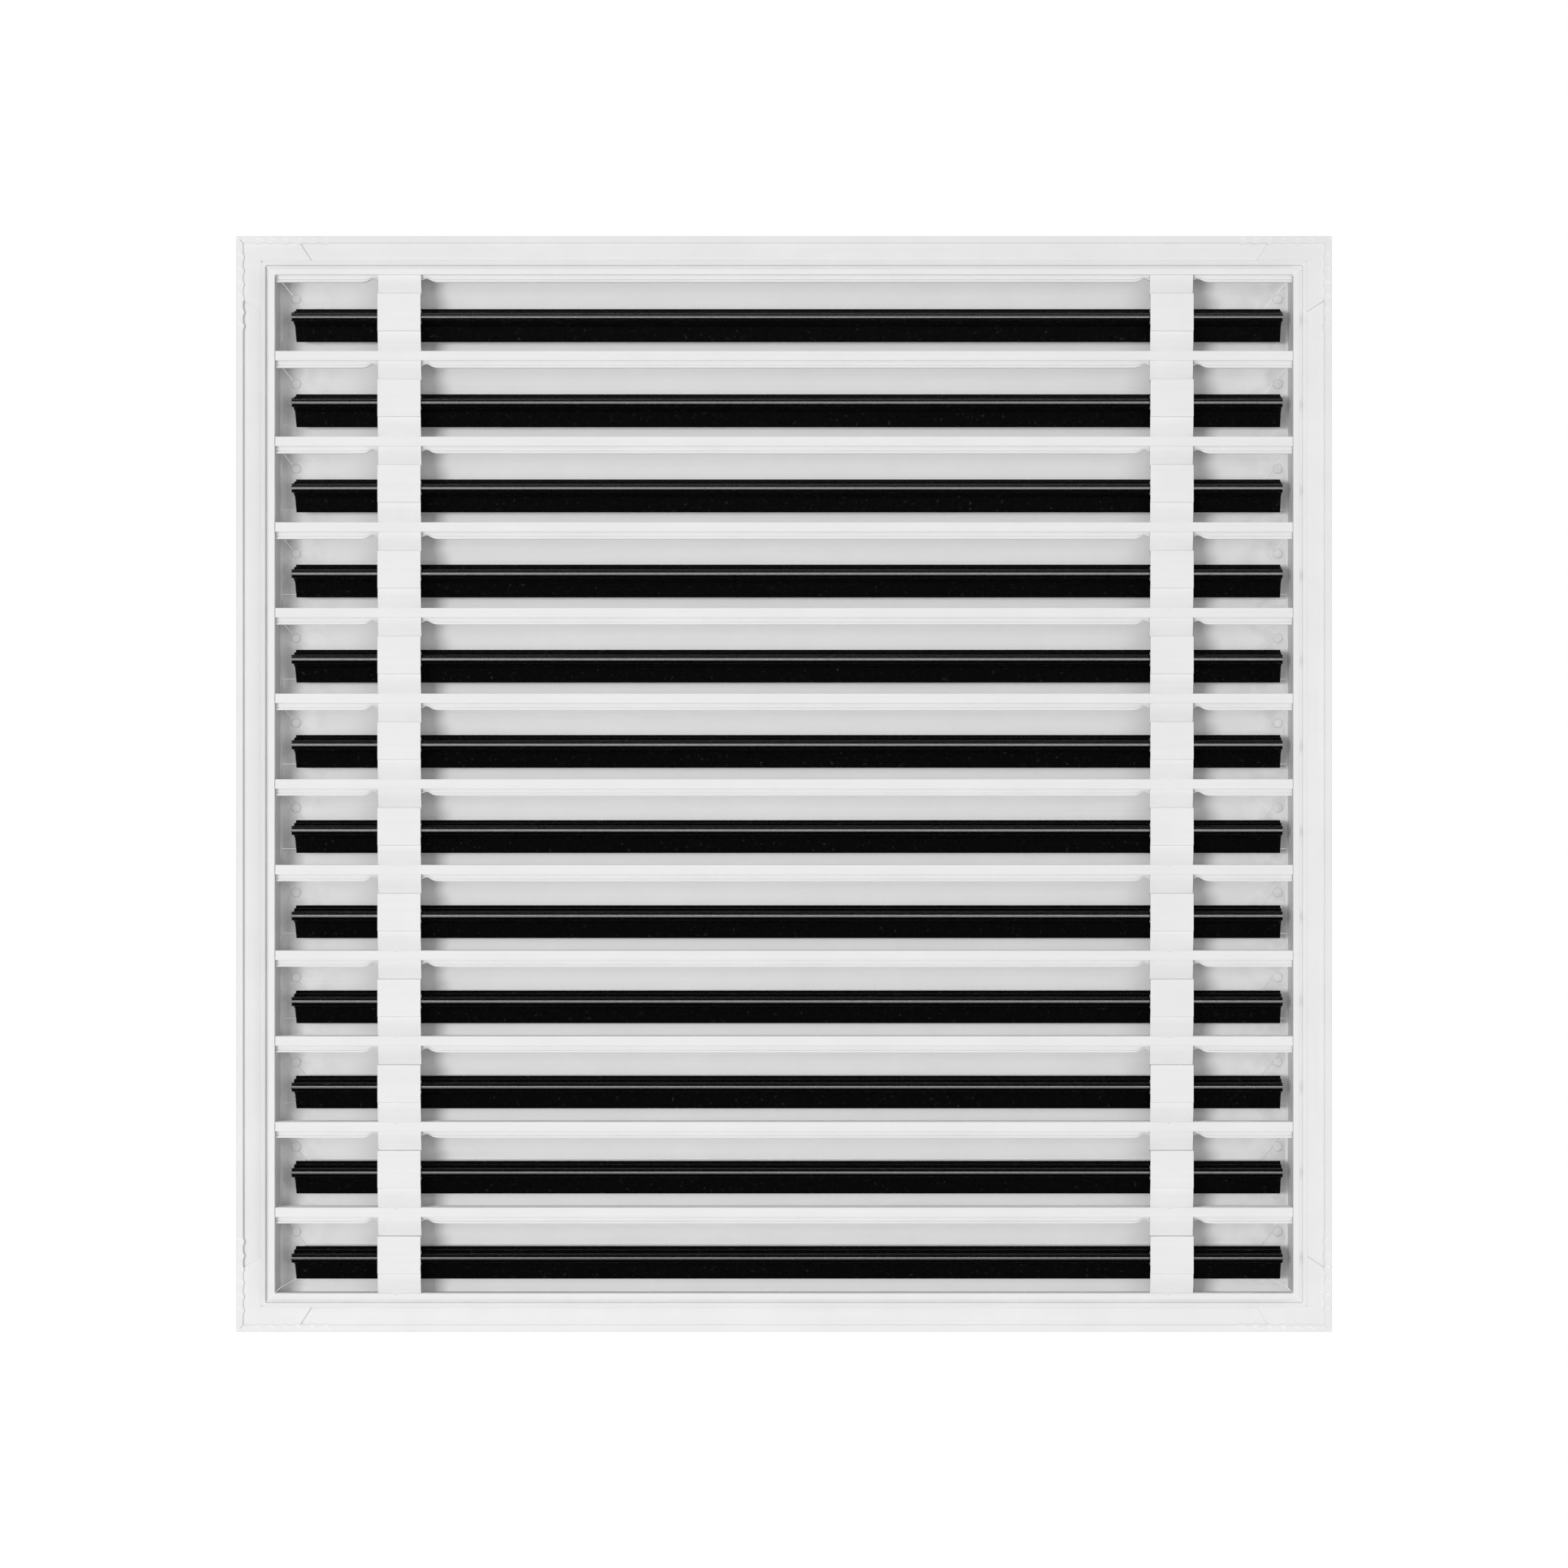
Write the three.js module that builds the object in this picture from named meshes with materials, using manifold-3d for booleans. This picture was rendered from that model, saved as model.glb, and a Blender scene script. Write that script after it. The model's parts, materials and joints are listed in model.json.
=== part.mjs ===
// Twelve-slot louvred air grille, square face, for a 24 inch duct opening. Millimetres, +Z up.
// X runs along the slots, Z across them, and air leaves along +Y. The origin is the middle of the
// plane where the back of the flange meets the wall: the neck reaches into the duct towards -Y.
//
// Four mitred rails make the frame, and a corner key sits in the rails' channels at each corner.
// Eleven T-bars divide the neck into twelve slots. In every slot two bridges, which are slices of
// one extrusion, hold the bars apart and carry a black louvre blade that turns in their clips.

import * as THREE from "three";
import { mergeVertices } from "three/addons/utils/BufferGeometryUtils.js";
import Module from "manifold-3d";

const wasm = await Module();
wasm.setup();

// ---- Driving dimensions ----
const FACE_SIZE = 654; // outside of the flange, square
const NECK_SIZE = 609.6; // outside of the neck, square
const SLOTS = 12;
const GAP = 0.3; // clearance between pieces that meet

// Heights are measured from the front face towards the duct.
const PLATE = 1.6; // face plate
const LIP_TOP = 4.4; // back of the flange's key lips, which seat on the wall
const KEY_LIP = 1.2; // thickness of those lips
const HEAD_TOP = 34; // back edge of rails and T-bars
const HEAD_THICK = 1.4;
const LEDGE_TOP = 30; // back of the bead along the ledge that the bridges' feet sit on
const LEDGE_FLOOR = 28.9;
const LEDGE_UNDER = 27.3;
const LEDGE_BEAD = 1; // width of that bead
const LEDGE_GROOVE = 0.7; // width and depth of the groove beside it
const BEAD_TOP = 3; // stiffening bead along each slot's edge
const BEAD_WIDE = 1.2;

// Widths across a rail, measured inwards from the flange's outer edge, and across a T-bar.
const RAIL_HEAD = 3.8; // back edge of a rail
const RAIL_WEB = 1.6;
const BAR_HEAD = 5.6; // back edge of a T-bar
const BAR_WEB = 1.8;
const PORT_SIZE = 5; // screw port halfway up a T-bar's web
const PORT_HEIGHT = 15;
const LEDGE_ABOVE_SLOT = 4.1; // ledge beyond the head, above each slot; below, they end level
const END_WALL = 1; // second wall of a side rail, level with its head
const PLATE_ABOVE_SLOT = 20; // face plate beyond the head, above each slot
const PLATE_BELOW_SLOT = 9;
const PLATE_AT_ENDS = 16.5;
const PLATE_SHY = 1.2; // a T-bar's plate, below a slot, stops this far from the side rail's wall
const EAR_TIP = 0.2; // blunt tip of a T-bar's mitred corner
const OUTER_LIP = 4; // key channel: its outer lip, outer wall and inner post
const CHANNEL_WALL = 1.4;
const INNER_LIP_FROM = 14.4;
const INNER_LIP_TO = 17.4;

// Bridges and blades.
const BRIDGE_WIDE = 25.4;
const BRIDGE_AT = 228.3; // each side of the middle
const BRIDGE_SHIFT = 0.9; // all bridges sit this far towards +X
const SHEET = 1.6; // bridge wall
const FOOT_REACH = 1.5; // how far a foot tucks in under a head
const BLADE_LENGTH = 584.8;
const BLADE_SHIFT = 2.6; // blades sit this far towards +X
const BLADE_SKEW = 0.09; // sawn slope of a blade's -X end, sideways per millimetre of height
const BLADE_DEPTH = 16.1; // from the hub's axis down to the blade's lowest edge
const HUB_R = 2.65;
const CROWN = 1; // half the width of the hub's crown, and its radius
const CROWN_R = 8;
const FIN_IN = 1.95; // the fins beside it
const FIN_OUT = 2.35;
const GROOVE = 0.4; // height of the grooves between them over the hub's axis
const HUB_DROP = 24.65; // from a slot's upper edge down to its hub
const HUB_HEIGHT = 30.6;
const NECK_THICK = 1.6;
const CLIP_IN_R = 2.9;
const CLIP_OUT_R = 4.1;
const CLIP_WRAP = 125; // degrees that each jaw reaches round from the back

// ---- Worked out from them ----
const half = FACE_SIZE / 2;
const railHeadAt = half - NECK_SIZE / 2 + RAIL_HEAD; // inner edge of a rail's head, from outside
const inner = half - railHeadAt; // half the clear width between rails
const slotHeight = (2 * inner - (SLOTS - 1) * BAR_HEAD) / SLOTS;
const pitch = slotHeight + BAR_HEAD;
const slotTop = (i) => inner - i * pitch; // upper edge of slot i, counted from the top
const slotEnd = inner - PLATE_AT_ENDS; // half a slot's length in the face

// ---- Materials ----
const whiteEnamel = new THREE.MeshStandardMaterial({ color: 0xe8e8e8, roughness: 0.45, metalness: 0 });
const blackEnamel = new THREE.MeshStandardMaterial({ color: 0x0b0b0c, roughness: 0.4, metalness: 0 });

// ---- Helpers ----

// A closed outline of [across, height] pairs, extruded along X from x0 to x1 in the part's frame.
function bar(outline, x0, x1) {
  const shape = new THREE.Shape(outline.map(([across, height]) => new THREE.Vector2(across, height)));
  const geometry = new THREE.ExtrudeGeometry(shape, { depth: x1 - x0, bevelEnabled: false });
  const position = geometry.getAttribute("position");
  for (let i = 0; i < position.count; i++) {
    const [across, height, along] = [position.getX(i), position.getY(i), position.getZ(i)];
    position.setXYZ(i, x0 + along, LIP_TOP - height, across);
  }
  return geometry;
}

// A closed plan outline of [x, z] pairs, standing between two heights.
function slab(outline, low, high) {
  const shape = new THREE.Shape(outline.map(([x, z]) => new THREE.Vector2(x, z)));
  const geometry = new THREE.ExtrudeGeometry(shape, { depth: high - low, bevelEnabled: false });
  geometry.rotateX(Math.PI / 2);
  geometry.translate(0, LIP_TOP - low, 0);
  return geometry;
}

// A box between x0 and x1, heights low and high, and z0 and z1.
function block(x0, x1, low, high, z0, z1) {
  const corners = [
    [x0, z0],
    [x1, z0],
    [x1, z1],
    [x0, z1],
  ];
  return slab(corners, low, high);
}

function solidOf(geometry) {
  const bare = geometry.clone();
  bare.deleteAttribute("normal");
  bare.deleteAttribute("uv");
  const merged = mergeVertices(bare, 1e-4);
  const mesh = new wasm.Mesh({
    numProp: 3,
    vertProperties: merged.getAttribute("position").array,
    triVerts: new Uint32Array(merged.index.array),
  });
  return new wasm.Manifold(mesh);
}

function geometryOf(solid) {
  const mesh = solid.getMesh();
  const geometry = new THREE.BufferGeometry();
  geometry.setAttribute("position", new THREE.BufferAttribute(mesh.vertProperties, 3));
  geometry.setIndex(new THREE.BufferAttribute(mesh.triVerts, 1));
  return geometry;
}

const join = (first, ...rest) => rest.reduce((sum, geometry) => sum.add(solidOf(geometry)), solidOf(first));
const cut = (solid, ...tools) => tools.reduce((left, geometry) => left.subtract(solidOf(geometry)), solid);

function named(name, geometry, material) {
  const mesh = new THREE.Mesh(geometry, material);
  mesh.name = name;
  return mesh;
}

// Points on an arc, its angle measured in degrees from the duct side (up in height).
function arc(centreAcross, centreHeight, radius, from, to, steps) {
  const points = [];
  for (let i = 0; i <= steps; i++) {
    const angle = THREE.MathUtils.degToRad(from + ((to - from) * i) / steps);
    points.push([centreAcross + radius * Math.sin(angle), centreHeight + radius * Math.cos(angle)]);
  }
  return points;
}

// ---- Frame rails ----

// Section of a rail as [inwards from the outer edge, height]. Its web stands at the outside of
// the neck with the head overhanging it, or fills the head's width where `filled` is set.
function railSection(plateBeyondHead, filled) {
  const plateEnd = railHeadAt + plateBeyondHead;
  const neck = railHeadAt - RAIL_HEAD;
  const web = neck + RAIL_WEB;
  const lipUnder = LIP_TOP - KEY_LIP;
  const inside = [
    [web, PLATE],
    [web, HEAD_TOP - HEAD_THICK],
    [railHeadAt, HEAD_TOP - HEAD_THICK],
  ];
  return [
    [0, 0],
    [plateEnd, 0],
    [plateEnd, BEAD_TOP],
    [plateEnd - BEAD_WIDE, BEAD_TOP],
    [plateEnd - BEAD_WIDE, PLATE],
    ...(filled ? [[railHeadAt, PLATE]] : inside),
    [railHeadAt, HEAD_TOP],
    [neck, HEAD_TOP],
    [neck, PLATE],
    [INNER_LIP_TO, PLATE],
    [INNER_LIP_TO, LIP_TOP],
    [INNER_LIP_FROM, LIP_TOP],
    [INNER_LIP_FROM, lipUnder],
    [INNER_LIP_TO - CHANNEL_WALL, lipUnder],
    [INNER_LIP_TO - CHANNEL_WALL, PLATE],
    [CHANNEL_WALL, PLATE],
    [CHANNEL_WALL, lipUnder],
    [OUTER_LIP, lipUnder],
    [OUTER_LIP, LIP_TOP],
    [0, LIP_TOP],
  ];
}

// A solid top rail with mitred ends. Past the head the mitre leans, because the two face plates
// that meet there differ in width: lowPlate and highPlate are those of its neighbours.
function mitredRail(plateBeyondHead, filled, lowPlate, highPlate) {
  const section = railSection(plateBeyondHead, filled);
  const upright = section.map(([inwards, height]) => [half - inwards, height]);
  const end = (side, plate) => [
    [side * (half + 1 - GAP / 2), half + 1],
    [side * (inner - GAP / 2), inner],
    [side * (inner - GAP / 2 - 1.1 * plate), inner - 1.1 * plateBeyondHead],
  ];
  const plan = [...end(-1, lowPlate), ...end(1, highPlate).reverse()];
  return solidOf(bar(upright, -half, half)).intersect(solidOf(slab(plan, -1, HEAD_TOP + 1)));
}

// The ledge that the bridges' feet sit on, with a bead along its edge and a groove beside that, as
// [across, height]. It runs from the web at `from` to `to`.
function ledge(from, to) {
  const back = -Math.sign(to - from);
  const bead = to + back * LEDGE_BEAD;
  const groove = bead + back * LEDGE_GROOVE;
  return [
    [from, LEDGE_UNDER],
    [to, LEDGE_UNDER],
    [to, LEDGE_TOP],
    [bead, LEDGE_TOP],
    [bead, LEDGE_FLOOR - LEDGE_GROOVE],
    [groove, LEDGE_FLOOR - LEDGE_GROOVE],
    [groove, LEDGE_FLOOR],
    [from, LEDGE_FLOOR],
  ];
}

// A top rail with its ledge, which runs square from one side rail's wall to the other.
function ledgedRail(plateBeyondHead, ledgeBeyondHead) {
  const shelf = ledge(inner + RAIL_HEAD - RAIL_WEB + 0.4, inner - ledgeBeyondHead);
  const rail = mitredRail(plateBeyondHead, false, PLATE_AT_ENDS, PLATE_AT_ENDS);
  return geometryOf(rail.add(solidOf(bar(shelf, GAP - inner, inner - GAP))));
}

const topRail = () => ledgedRail(PLATE_ABOVE_SLOT, LEDGE_ABOVE_SLOT);
const bottomRail = () => ledgedRail(PLATE_BELOW_SLOT, 0).rotateY(Math.PI);

// A side rail, hollow between its two walls, with notches in its face plate for each T-bar.
function sideRail(side) {
  const neighbours = [PLATE_ABOVE_SLOT, PLATE_BELOW_SLOT];
  if (side < 0) neighbours.reverse();
  const rail = geometryOf(mitredRail(PLATE_AT_ENDS, true, ...neighbours));
  rail.rotateY((side * Math.PI) / 2);
  const hollow = [side * (inner + END_WALL), side * (inner + RAIL_HEAD - RAIL_WEB)];
  const tools = [block(...hollow.sort((a, b) => a - b), PLATE, HEAD_TOP - HEAD_THICK, -half, half)];
  for (let i = 1; i < SLOTS; i++) {
    tools.push(ear(side, slotTop(i), GAP, -1, BEAD_TOP + 1));
    tools.push(tail(side, slotTop(i), GAP, -1, BEAD_TOP + 1));
  }
  return geometryOf(cut(solidOf(rail), ...tools));
}

// The end of a T-bar's face plate below the slot over it, square to the side rail's wall. `top`
// is the lower edge of the bar's head, and `grow` widens it where it cuts its notch.
function tail(side, top, grow, low, high) {
  const reach = [side * (slotEnd - 1), side * (inner - PLATE_SHY + grow)].sort((a, b) => a - b);
  return block(...reach, low, high, top - 0.1, top + BAR_HEAD + PLATE_BELOW_SLOT + grow);
}

// The mitred corner of a T-bar's face plate, with a blunt tip at the side rail's wall. `grow`
// widens it where it cuts its notch in the side rail.
function ear(side, top, grow, low, high) {
  const slope = PLATE_ABOVE_SLOT / PLATE_AT_ENDS;
  const bottom = top - PLATE_ABOVE_SLOT - grow * (1 + slope);
  const corners = [
    [side * (slotEnd - 1), top + grow],
    [side * (inner - 2 * GAP + grow), top + grow],
    [side * (inner - 2 * GAP + grow), top - EAR_TIP - grow],
    [side * slotEnd, bottom],
    [side * (slotEnd - 1), bottom],
  ];
  return slab(corners, low, high);
}

// ---- T-bars ----

// Section above the face plate as [across from the bar's middle, height]: web, screw port, ledges
// for the bridges' feet and the head. The port's sides slope at 45 degrees.
function barSection(foot) {
  const web = BAR_WEB / 2;
  const head = BAR_HEAD / 2;
  const port = PORT_SIZE / 2;
  const slope = port - web;
  const sides = (side, reach) => [
    [side * web, foot],
    [side * web, PORT_HEIGHT - port],
    [side * port, PORT_HEIGHT - port + slope],
    [side * port, PORT_HEIGHT + port - slope],
    [side * web, PORT_HEIGHT + port],
    ...ledge(side * web, side * (head + reach)),
    [side * web, HEAD_TOP - HEAD_THICK],
    [side * head, HEAD_TOP - HEAD_THICK],
    [side * head, HEAD_TOP],
  ];
  return [...sides(1, 0), ...sides(-1, LEDGE_ABOVE_SLOT).reverse()];
}

// Face plate of a T-bar with a bead along both edges.
function barPlate() {
  const up = BAR_HEAD / 2 + PLATE_BELOW_SLOT;
  const down = -BAR_HEAD / 2 - PLATE_ABOVE_SLOT;
  return [
    [down, 0],
    [up, 0],
    [up, BEAD_TOP],
    [up - BEAD_WIDE, BEAD_TOP],
    [up - BEAD_WIDE, PLATE],
    [down + BEAD_WIDE, PLATE],
    [down + BEAD_WIDE, BEAD_TOP],
    [down, BEAD_TOP],
  ];
}

// One T-bar, its middle at z = 0. Past the slots' ends its web steps over the side rails' beads.
function tBar() {
  const plateReach = slotEnd - GAP;
  const reach = inner - GAP;
  const corners = [-1, 1].flatMap((side) => [
    ear(side, -BAR_HEAD / 2, 0, 0, PLATE),
    tail(side, -BAR_HEAD / 2, 0, 0, PLATE),
  ]);
  const solid = join(
    bar(barPlate(), -plateReach, plateReach),
    bar(barSection(PLATE - 0.4), -plateReach, plateReach),
    bar(barSection(BEAD_TOP + GAP), -reach, reach),
    ...corners,
  );
  return geometryOf(solid);
}

// ---- Bridges ----

// Section of a bridge as [down from the slot's upper edge, height]. It runs from the groove of
// the upper bar, down a slope, over a raised middle, and by a step and a slope to the lower bar.
function bridgeBack() {
  return [
    [-FOOT_REACH, 32],
    [4.1, 32],
    [11.2, 30.2],
    [11.2, 36.5],
    [33.4, 36.5],
    [33.4, 33.8],
    [38.5, 33.8],
    [44, 32],
    [slotHeight + FOOT_REACH, 32],
  ];
}

function bridgeFront() {
  return [
    [slotHeight + FOOT_REACH, 32 - SHEET],
    [43.6, 32 - SHEET],
    [38.2, 33.8 - SHEET],
    [33.4 - SHEET, 33.8 - SHEET],
    [33.4 - SHEET, 36.5 - SHEET],
    [11.2 + SHEET, 36.5 - SHEET],
    [11.2 + SHEET, 28.3],
    [10.6, 28.3],
    [3.9, 32 - SHEET],
    [-FOOT_REACH, 32 - SHEET],
  ];
}

// One bridge, hung from the slot's upper edge at z = 0, with the clip that the blade's hub
// snaps into under its raised middle.
function bridge() {
  const flip = (points) => points.map(([down, height]) => [-down, height]);
  const jaws = [
    ...arc(HUB_DROP, HUB_HEIGHT, CLIP_OUT_R, -CLIP_WRAP, CLIP_WRAP, 16),
    ...arc(HUB_DROP, HUB_HEIGHT, CLIP_IN_R, CLIP_WRAP, -CLIP_WRAP, 16),
  ];
  const stem = [
    [HUB_DROP - SHEET, HUB_HEIGHT + CLIP_IN_R + 0.3],
    [HUB_DROP + SHEET, HUB_HEIGHT + CLIP_IN_R + 0.3],
    [HUB_DROP + SHEET, 36.2],
    [HUB_DROP - SHEET, 36.2],
  ];
  const [x0, x1] = [-BRIDGE_WIDE / 2, BRIDGE_WIDE / 2];
  const strap = bar(flip([...bridgeBack(), ...bridgeFront()]), x0, x1);
  return geometryOf(join(strap, bar(flip(jaws), x0, x1), bar(flip(stem), x0, x1)));
}

// ---- Blades ----

// Section of a louvre blade as [down from the hub, height over the hub]: a hub with a low crown and
// two fins, a neck, a flange on a short leg above, and a long wing on a leg below.
function bladeSection() {
  const neck = NECK_THICK / 2;
  const angleAt = (across, radius = HUB_R) => THREE.MathUtils.radToDeg(Math.asin(across / radius));
  const finTop = Math.sqrt(HUB_R ** 2 - FIN_OUT ** 2);
  const neckAngle = 180 - angleAt(neck);
  const crownAngle = angleAt(CROWN, CROWN_R);
  const crownCentre = Math.sqrt(HUB_R ** 2 - CROWN ** 2) - Math.sqrt(CROWN_R ** 2 - CROWN ** 2);
  return [
    ...arc(0, 0, HUB_R, -neckAngle, -angleAt(FIN_OUT), 10),
    [-FIN_IN, finTop],
    [-FIN_IN, GROOVE],
    [-CROWN, GROOVE],
    ...arc(0, crownCentre, CROWN_R, -crownAngle, crownAngle, 6),
    [CROWN, GROOVE],
    [FIN_IN, GROOVE],
    [FIN_IN, finTop],
    ...arc(0, 0, HUB_R, angleAt(FIN_OUT), neckAngle, 10),
    [neck, -4.9],
    [2.9, -5.9],
    [4.7, -10.3],
    [13.65, -14.9],
    [12.9, -BLADE_DEPTH],
    [3.7, -11.4],
    [2.2, -7.3],
    [0, -6.4],
    [-3, -9],
    [-3, -12.9],
    [-5.2, -14.9],
    [-6.05, -13.9],
    [-4.3, -12.3],
    [-4.3, -7.9],
    [-neck, -4.9],
  ];
}

// One blade with its hub's axis on the X axis at the hub's own height. Its -X end is sawn askew.
function blade() {
  const section = bladeSection().map(([down, up]) => [-down, HUB_HEIGHT + up]);
  const left = BLADE_SHIFT - BLADE_LENGTH / 2;
  const geometry = bar(section, left, BLADE_SHIFT + BLADE_LENGTH / 2);
  const position = geometry.getAttribute("position");
  for (let i = 0; i < position.count; i++) {
    const overTip = LIP_TOP - position.getY(i) - (HUB_HEIGHT - BLADE_DEPTH);
    if (position.getX(i) < 0) position.setX(i, left - BLADE_SKEW * overTip);
  }
  return geometry;
}

// ---- Corner keys ----

// An L-shaped plate in the key channels, its ends sawn aslant, for the corner at (sideX, sideZ).
function cornerKey(sideX, sideZ) {
  const near = CHANNEL_WALL + GAP;
  const far = INNER_LIP_TO - CHANNEL_WALL - GAP;
  const [shortLeg, longLeg] = [36.5, 45.5];
  const corners = [
    [near, near],
    [shortLeg, near],
    [longLeg, far],
    [far, far],
    [far, longLeg],
    [near, shortLeg],
  ];
  const plan = corners.map(([x, z]) => [sideX * (half - x), sideZ * (half - z)]);
  return slab(plan, PLATE + 0.15, LIP_TOP - KEY_LIP - 0.15);
}

// ---- Assembly ----
const grille = new THREE.Group();
const number = (i) => String(i + 1).padStart(2, "0");

grille.add(
  named("top_rail", topRail(), whiteEnamel),
  named("bottom_rail", bottomRail(), whiteEnamel),
  named("left_rail", sideRail(-1), whiteEnamel),
  named("right_rail", sideRail(1), whiteEnamel),
);

for (const [vertical, sideZ] of [
  ["top", 1],
  ["bottom", -1],
]) {
  for (const [horizontal, sideX] of [
    ["left", -1],
    ["right", 1],
  ]) {
    grille.add(named(`corner_key_${vertical}_${horizontal}`, cornerKey(sideX, sideZ), whiteEnamel));
  }
}

const tBarGeometry = tBar();
for (let i = 0; i < SLOTS - 1; i++) {
  const mesh = named(`t_bar_${number(i)}`, tBarGeometry, whiteEnamel);
  mesh.position.z = slotTop(i + 1) + BAR_HEAD / 2;
  grille.add(mesh);
}

const bridgeGeometry = bridge();
const bladeGeometry = blade();
for (let i = 0; i < SLOTS; i++) {
  for (const [name, side] of [
    ["left", -1],
    ["right", 1],
  ]) {
    const mesh = named(`bridge_${name}_${number(i)}`, bridgeGeometry, whiteEnamel);
    mesh.position.set(side * BRIDGE_AT + BRIDGE_SHIFT, 0, slotTop(i));
    grille.add(mesh);
  }
  const louvre = named(`blade_${number(i)}`, bladeGeometry, blackEnamel);
  louvre.position.z = slotTop(i) - HUB_DROP;
  grille.add(louvre);
}

export default grille;
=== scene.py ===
"""Fine surfaces, finishes and studio for a square twelve-slot louvred air grille.

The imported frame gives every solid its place. Each drawn aluminium piece is a finer copy of its
solid: the corners that the die rounds are filleted, and the lips carry the crimps and stakes made
at assembly. Rivets, screws and stake burrs are set out by Geometry Nodes. Lengths are in metres.
X runs along the slots, Z across them, and the duct lies towards -Y.
"""

import json
import logging
import math
from dataclasses import dataclass, field
from enum import Enum
from typing import Any, Callable, Iterable, Sequence

import bmesh
import bpy
from mathutils import Matrix, Vector


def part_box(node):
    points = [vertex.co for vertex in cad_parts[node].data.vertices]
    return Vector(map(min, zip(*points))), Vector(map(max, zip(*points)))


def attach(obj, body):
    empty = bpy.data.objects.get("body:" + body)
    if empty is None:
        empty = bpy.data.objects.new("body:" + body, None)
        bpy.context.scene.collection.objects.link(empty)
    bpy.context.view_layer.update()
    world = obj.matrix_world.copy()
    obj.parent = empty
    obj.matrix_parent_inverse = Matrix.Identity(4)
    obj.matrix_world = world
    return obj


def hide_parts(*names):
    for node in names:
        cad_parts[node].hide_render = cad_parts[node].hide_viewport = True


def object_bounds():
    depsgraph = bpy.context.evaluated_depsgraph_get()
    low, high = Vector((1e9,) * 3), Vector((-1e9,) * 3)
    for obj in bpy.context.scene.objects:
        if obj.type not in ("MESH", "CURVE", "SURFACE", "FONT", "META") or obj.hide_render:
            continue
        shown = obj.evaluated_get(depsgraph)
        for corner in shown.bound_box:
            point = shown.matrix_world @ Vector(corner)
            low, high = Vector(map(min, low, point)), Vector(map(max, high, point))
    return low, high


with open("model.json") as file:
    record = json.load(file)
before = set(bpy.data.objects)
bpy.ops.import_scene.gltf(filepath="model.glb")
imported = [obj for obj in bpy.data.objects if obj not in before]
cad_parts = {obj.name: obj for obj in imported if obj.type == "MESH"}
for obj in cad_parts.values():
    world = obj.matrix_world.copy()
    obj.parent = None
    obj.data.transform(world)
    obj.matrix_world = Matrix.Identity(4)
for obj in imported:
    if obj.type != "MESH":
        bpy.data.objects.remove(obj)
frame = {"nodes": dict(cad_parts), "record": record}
CAD_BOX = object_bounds()

MM = 0.001
FRAME_BODY = "frame"
WELD = 1e-6
FLAT = math.radians(0.5)
ALONG = math.cos(math.radians(2.5))
LOG = logging.getLogger("grille")


class Draw(Enum):
    """The way a piece was drawn through its die."""

    ACROSS = Vector((1, 0, 0))
    UPRIGHT = Vector((0, 0, 1))


class Slot(Enum):
    """The record's material slots."""

    WHITE = "white_enamel"
    BLACK = "black_enamel"


# ---------------------------------------------------------------------------------------------
# Node trees
# ---------------------------------------------------------------------------------------------


class Tree:
    """A node tree with short ways to add nodes and wire them."""

    def __init__(self, tree: bpy.types.NodeTree) -> None:
        """Takes the tree to work on.

        Args:
            tree: a material's, world's or Geometry Nodes tree.
        """
        self.tree = tree

    def add(self, kind: str, sockets: dict[Any, Any] | None = None, **settings: Any) -> bpy.types.Node:
        """Adds a node.

        Args:
            kind: the node's type name.
            sockets: for each input, by name or number, its value or the output it is wired to.
            settings: properties set on the node itself.

        Returns:
            The new node.
        """
        node = self.tree.nodes.new(kind)
        for name, value in settings.items():
            setattr(node, name, value)
        for name, value in (sockets or {}).items():
            if isinstance(value, bpy.types.NodeSocket):
                self.tree.links.new(value, node.inputs[name])
            else:
                node.inputs[name].default_value = value
        return node

    def math(self, operation: str, first: Any, second: Any = 0.0) -> bpy.types.NodeSocket:
        """Adds a Math node and returns its output.

        Args:
            operation: the node's operation, such as ADD.
            first: a number or an output.
            second: a number or an output.

        Returns:
            The node's output.
        """
        node = self.add("ShaderNodeMath", {0: first, 1: second}, operation=operation)
        return node.outputs[0]

    def ramp(self, value: bpy.types.NodeSocket, low: float, high: float) -> bpy.types.NodeSocket:
        """Maps a 0 to 1 value onto a range.

        Args:
            value: the output to map.
            low: the result for 0.
            high: the result for 1.

        Returns:
            The mapped output.
        """
        node = self.add("ShaderNodeMapRange", {"Value": value, "To Min": low, "To Max": high})
        return node.outputs["Result"]


class Finish:
    """A surface finish, made into one material for each of its variants."""

    def material(self) -> bpy.types.Material:
        """Returns the finish's material, made the first time it is asked for."""
        name = self.name()
        return bpy.data.materials.get(name) or self.build(name)

    def name(self) -> str:
        """Returns the material's name."""
        raise NotImplementedError

    def build(self, name: str) -> bpy.types.Material:
        """Makes the material.

        Args:
            name: the material's name.

        Returns:
            The new material.
        """
        raise NotImplementedError

    def start(self, name: str) -> tuple[bpy.types.Material, Tree, bpy.types.Node, bpy.types.NodeSocket]:
        """Starts a material with an empty tree.

        Args:
            name: the material's name.

        Returns:
            The material, its tree, its shader and the Object coordinates.
        """
        material = bpy.data.materials.new(name)
        material.use_nodes = True
        tree = Tree(material.node_tree)
        tree.tree.nodes.clear()
        shader = tree.add("ShaderNodeBsdfPrincipled")
        tree.add("ShaderNodeOutputMaterial", {"Surface": shader.outputs[0]})
        place = tree.add("ShaderNodeTexCoord").outputs["Object"]
        return material, tree, shader, place


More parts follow.
